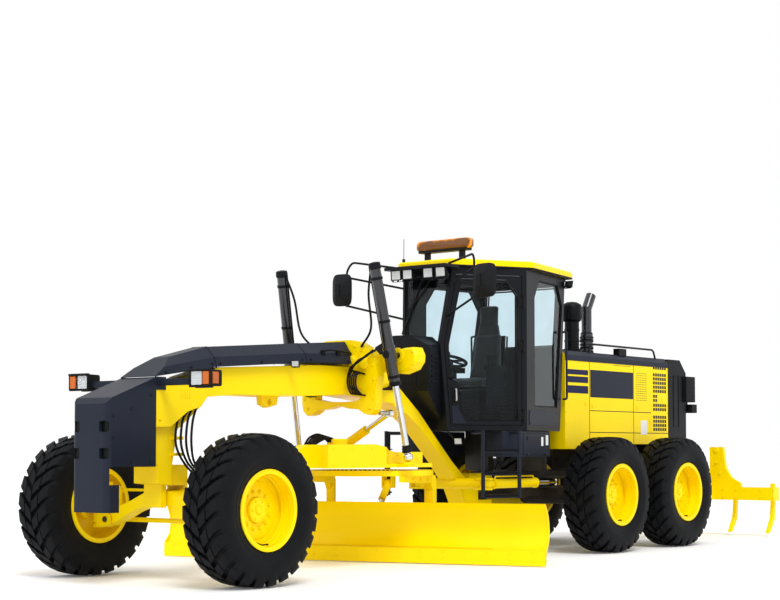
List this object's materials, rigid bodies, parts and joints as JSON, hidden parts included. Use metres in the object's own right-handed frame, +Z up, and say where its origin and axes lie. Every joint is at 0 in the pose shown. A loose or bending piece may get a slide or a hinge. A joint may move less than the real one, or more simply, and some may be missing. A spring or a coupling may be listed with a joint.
{
  "type": "motor grader",
  "caption": "Articulated motor grader with a blade on a turning circle under a gooseneck frame, tandem rear wheels, hexagonal cab and rear ripper.",
  "frame": {"origin": "middle of the whole machine's footprint, on the ground", "axes": "+X forwards, +Y to the machine's left, +Z up"},
  "size_m": [10.81, 4.087, 3.405],
  "materials": {
    "amber": "clear amber lens",
    "black": "satin black",
    "charcoal": "satin dark slate",
    "fabric": "dark woven cloth",
    "plastic": "grained dark plastic",
    "rod": "hard chrome, polished",
    "steel": "dark machined steel",
    "tyre": "dark rubber, matt",
    "yellow": "gloss machine yellow"
  },
  "bodies": {
    "rear_machine": {"rear_frame": "steel", "tandem_cases": "yellow", "engine": "steel", "hood": "yellow", "radiator_guard": "black", "exhaust": "black", "cab": "black", "roof": "yellow", "beacon": "amber", "seat": "fabric", "console": "plastic", "steps": "black"},
    "front_machine": {"front_frame": "yellow", "nose_guard": "charcoal", "top_cover": "charcoal", "lifter": "yellow", "front_axle": "yellow"},
    "drawbar_yaw": {"drawbar_ball": "steel"},
    "drawbar_body": {"drawbar": "yellow"},
    "circle_body": {"circle": "yellow"},
    "tip_body": {"blade_carrier": "yellow"},
    "blade": {"moldboard": "yellow", "cutting_edge": "yellow"},
    "tip_tube": {"tip_cylinder": "yellow"},
    "tip_ram": {"tip_rod": "rod"},
    "shift_tube": {"shift_cylinder": "yellow"},
    "shift_ram": {"shift_rod": "rod"},
    "lean_bar_body": {"lean_bar": "steel"},
    "tie_end": {"tie_rod_end": "steel"},
    "tie_body": {"tie_rod": "steel"},
    "ripper": {"ripper_frame": "yellow", "ripper_shanks": "yellow"},
    "ripper_tube": {"ripper_cylinder": "yellow"},
    "ripper_ram": {"ripper_rod": "rod"},
    "wheel_front_left": {"tyre_front_left": "tyre", "rim_front_left": "yellow"},
    "wheel_front_right": {"tyre_front_right": "tyre", "rim_front_right": "yellow"},
    "wheel_middle_left": {"tyre_middle_left": "tyre", "rim_middle_left": "yellow"},
    "wheel_middle_right": {"tyre_middle_right": "tyre", "rim_middle_right": "yellow"},
    "wheel_rear_left": {"tyre_rear_left": "tyre", "rim_rear_left": "yellow"},
    "wheel_rear_right": {"tyre_rear_right": "tyre", "rim_rear_right": "yellow"},
    "yoke_left": {"lean_yoke_left": "yellow"},
    "knuckle_left": {"steering_knuckle_left": "yellow"},
    "yoke_right": {"lean_yoke_right": "yellow"},
    "knuckle_right": {"steering_knuckle_right": "yellow"},
    "lift_tube_left": {"lift_cylinder_left": "black"},
    "lift_ram_left": {"lift_rod_left": "rod"},
    "lift_tube_right": {"lift_cylinder_right": "black"},
    "lift_ram_right": {"lift_rod_right": "rod"},
    "articulation_tube_left": {"articulation_cylinder_left": "yellow"},
    "articulation_ram_left": {"articulation_rod_left": "rod"},
    "articulation_tube_right": {"articulation_cylinder_right": "yellow"},
    "articulation_ram_right": {"articulation_rod_right": "rod"},
    "door_body_left": {"door_left": "charcoal"},
    "door_body_right": {"door_right": "charcoal"}
  },
  "joints": [
    {"name": "articulation", "type": "hinge", "parent": "rear_machine", "child": "front_machine", "pos_m": [-0.265, 0.29839, 0.7], "axis": [0, 0, 1], "range_deg": [-25, 25]},
    {"name": "wheel_front_left_turn", "type": "hinge", "parent": "knuckle_left", "child": "wheel_front_left", "pos_m": [4.535, 1.32839, 0.64], "axis": [0, 1, 0], "continuous": true},
    {"name": "wheel_front_right_turn", "type": "hinge", "parent": "knuckle_right", "child": "wheel_front_right", "pos_m": [4.535, -0.73161, 0.64], "axis": [0, 1, 0], "continuous": true},
    {"name": "wheel_middle_left_turn", "type": "hinge", "parent": "rear_machine", "child": "wheel_middle_left", "pos_m": [-1.1975, 1.32839, 0.64], "axis": [0, 1, 0], "continuous": true},
    {"name": "wheel_middle_right_turn", "type": "hinge", "parent": "rear_machine", "child": "wheel_middle_right", "pos_m": [-1.1975, -0.73161, 0.64], "axis": [0, 1, 0], "continuous": true},
    {"name": "wheel_rear_left_turn", "type": "hinge", "parent": "rear_machine", "child": "wheel_rear_left", "pos_m": [-2.7225, 1.32839, 0.64], "axis": [0, 1, 0], "continuous": true},
    {"name": "wheel_rear_right_turn", "type": "hinge", "parent": "rear_machine", "child": "wheel_rear_right", "pos_m": [-2.7225, -0.73161, 0.64], "axis": [0, 1, 0], "continuous": true},
    {"name": "lean_left", "type": "hinge", "parent": "front_machine", "child": "yoke_left", "pos_m": [4.535, 0.97839, 0.52], "axis": [1, 0, 0], "range_deg": [-16, 16]},
    {"name": "steer_left", "type": "hinge", "parent": "yoke_left", "child": "knuckle_left", "pos_m": [4.535, 1.15839, 0.64], "axis": [0, 0, 1], "range_deg": [-49, 49]},
    {"name": "lean_right", "type": "hinge", "parent": "front_machine", "child": "yoke_right", "pos_m": [4.535, -0.38161, 0.52], "axis": [1, 0, 0], "range_deg": [-16, 16]},
    {"name": "steer_right", "type": "hinge", "parent": "yoke_right", "child": "knuckle_right", "pos_m": [4.535, -0.56161, 0.64], "axis": [0, 0, 1], "range_deg": [-49, 49]},
    {"name": "lean_bar_pivot", "type": "hinge", "parent": "yoke_left", "child": "lean_bar_body", "pos_m": [4.435, 0.97839, 0.78], "axis": [1, 0, 0], "range_deg": [-16, 16]},
    {"name": "tie_end_swivel", "type": "hinge", "parent": "knuckle_left", "child": "tie_end", "pos_m": [4.365, 1.15839, 0.512], "axis": [0, 0, 1], "range_deg": [-49, 49]},
    {"name": "tie_rod_tilt", "type": "hinge", "parent": "tie_end", "child": "tie_body", "pos_m": [4.365, 1.15839, 0.512], "axis": [1, 0, 0], "range_deg": [-16, 16]},
    {"name": "drawbar_swing", "type": "hinge", "parent": "front_machine", "child": "drawbar_yaw", "pos_m": [4.205, 0.29839, 0.7], "axis": [0, 0, 1], "range_deg": [-7, 7]},
    {"name": "drawbar_lift", "type": "hinge", "parent": "drawbar_yaw", "child": "drawbar_body", "pos_m": [4.205, 0.29839, 0.7], "axis": [0, 1, 0], "range_deg": [-13, 9.5]},
    {"name": "circle_turn", "type": "hinge", "parent": "drawbar_body", "child": "circle_body", "pos_m": [1.775, 0.29839, 0.9], "axis": [0, 0, -1], "range_deg": [-40, 65]},
    {"name": "blade_tip", "type": "hinge", "parent": "circle_body", "child": "tip_body", "pos_m": [1.39088, 0.18679, 0.26], "axis": [-0.279, 0.9603, 0], "range_deg": [-5, 40]},
    {"name": "blade_side_shift", "type": "slide", "parent": "tip_body", "child": "blade", "axis": [-0.279, 0.9603, 0], "range_m": [-0.53, 1.11]},
    {"name": "tip_cylinder_pivot", "type": "hinge", "parent": "circle_body", "child": "tip_tube", "pos_m": [1.18922, 0.12821, 0.79], "axis": [-0.279, 0.9603, 0], "range_deg": [-6, 6]},
    {"name": "tip_cylinder_slide", "type": "slide", "parent": "tip_tube", "child": "tip_ram", "axis": [0.7252, 0.2107, -0.6555], "range_m": [-0.04, 0.22]},
    {"name": "lift_pivot_left", "type": "hinge", "parent": "front_machine", "child": "lift_tube_left", "pos_m": [2.195, 0.94439, 2.05], "axis": [1, 0, 0], "range_deg": [-20, 20]},
    {"name": "lift_slide_left", "type": "slide", "parent": "lift_tube_left", "child": "lift_ram_left", "axis": [0.2086, -0.054, 0.9765], "range_m": [-0.54, 0.4]},
    {"name": "lift_pivot_right", "type": "hinge", "parent": "front_machine", "child": "lift_tube_right", "pos_m": [2.195, -0.34761, 2.05], "axis": [1, 0, 0], "range_deg": [-20, 20]},
    {"name": "lift_slide_right", "type": "slide", "parent": "lift_tube_right", "child": "lift_ram_right", "axis": [0.2086, 0.054, 0.9765], "range_m": [-0.54, 0.4]},
    {"name": "shift_pivot", "type": "hinge", "parent": "drawbar_body", "child": "shift_tube", "pos_m": [1.875, -0.10161, 1.065], "axis": [0.8564, 0.5069, -0.0978], "range_deg": [-24, 32]},
    {"name": "shift_slide", "type": "slide", "parent": "shift_tube", "child": "shift_ram", "axis": [0.0641, 0.8861, 0.4591], "range_m": [-0.24, 0.26]},
    {"name": "articulation_pivot_left", "type": "hinge", "parent": "front_machine", "child": "articulation_tube_left", "pos_m": [0.343, 0.79839, 0.775], "axis": [0, 0, 1], "range_deg": [-15, 15]},
    {"name": "articulation_slide_left", "type": "slide", "parent": "articulation_tube_left", "child": "articulation_ram_left", "axis": [-1, 0, 0], "range_m": [-0.23, 0.23]},
    {"name": "articulation_pivot_right", "type": "hinge", "parent": "front_machine", "child": "articulation_tube_right", "pos_m": [0.343, -0.20161, 0.775], "axis": [0, 0, 1], "range_deg": [-15, 15]},
    {"name": "articulation_slide_right", "type": "slide", "parent": "articulation_tube_right", "child": "articulation_ram_right", "axis": [-1, 0, 0], "range_m": [-0.23, 0.23]},
    {"name": "ripper_lift", "type": "hinge", "parent": "rear_machine", "child": "ripper", "pos_m": [-3.985, 0.29839, 0.56], "axis": [0, 1, 0], "range_deg": [-21, 12]},
    {"name": "ripper_cylinder_pivot", "type": "hinge", "parent": "rear_machine", "child": "ripper_tube", "pos_m": [-3.985, 0.29839, 1.29], "axis": [0, 1, 0], "range_deg": [-25, 25]},
    {"name": "ripper_cylinder_slide", "type": "slide", "parent": "ripper_tube", "child": "ripper_ram", "axis": [-0.9915, 0, -0.1301], "range_m": [-0.3, 0.3]},
    {"name": "door_left", "type": "hinge", "parent": "rear_machine", "child": "door_body_left", "pos_m": [0.051, 1.09839, 2.237], "axis": [0, 0, 1], "range_deg": [0, 75]},
    {"name": "door_right", "type": "hinge", "parent": "rear_machine", "child": "door_body_right", "pos_m": [0.051, -0.50161, 2.237], "axis": [0, 0, -1], "range_deg": [0, 75]}
  ],
  "couplings": [
    {"joint": "lean_right", "follows": "lean_left", "ratio": 1},
    {"joint": "steer_right", "follows": "steer_left", "ratio": 1},
    {"joint": "lean_bar_pivot", "follows": "lean_left", "ratio": -1},
    {"joint": "tie_end_swivel", "follows": "steer_left", "ratio": -1},
    {"joint": "tie_rod_tilt", "follows": "lean_left", "ratio": -0.794},
    {"joint": "lift_pivot_left", "follows": "drawbar_swing", "ratio": -2.05},
    {"joint": "lift_slide_left", "follows": "drawbar_lift", "m_per_rad": 2.26},
    {"joint": "lift_pivot_right", "follows": "drawbar_swing", "ratio": -2.05},
    {"joint": "lift_slide_right", "follows": "drawbar_lift", "m_per_rad": 2.26},
    {"joint": "shift_pivot", "follows": "drawbar_lift", "ratio": -2.4},
    {"joint": "shift_slide", "follows": "drawbar_swing", "m_per_rad": 1.9},
    {"joint": "articulation_pivot_left", "follows": "articulation", "ratio": -0.546},
    {"joint": "articulation_slide_left", "follows": "articulation", "m_per_rad": -0.496},
    {"joint": "articulation_pivot_right", "follows": "articulation", "ratio": -0.546},
    {"joint": "articulation_slide_right", "follows": "articulation", "m_per_rad": 0.496},
    {"joint": "tip_cylinder_pivot", "follows": "blade_tip", "ratio": -0.098},
    {"joint": "tip_cylinder_slide", "follows": "blade_tip", "m_per_rad": 0.296},
    {"joint": "ripper_cylinder_pivot", "follows": "ripper_lift", "ratio": 0.87},
    {"joint": "ripper_cylinder_slide", "follows": "ripper_lift", "m_per_rad": -0.71}
  ]
}
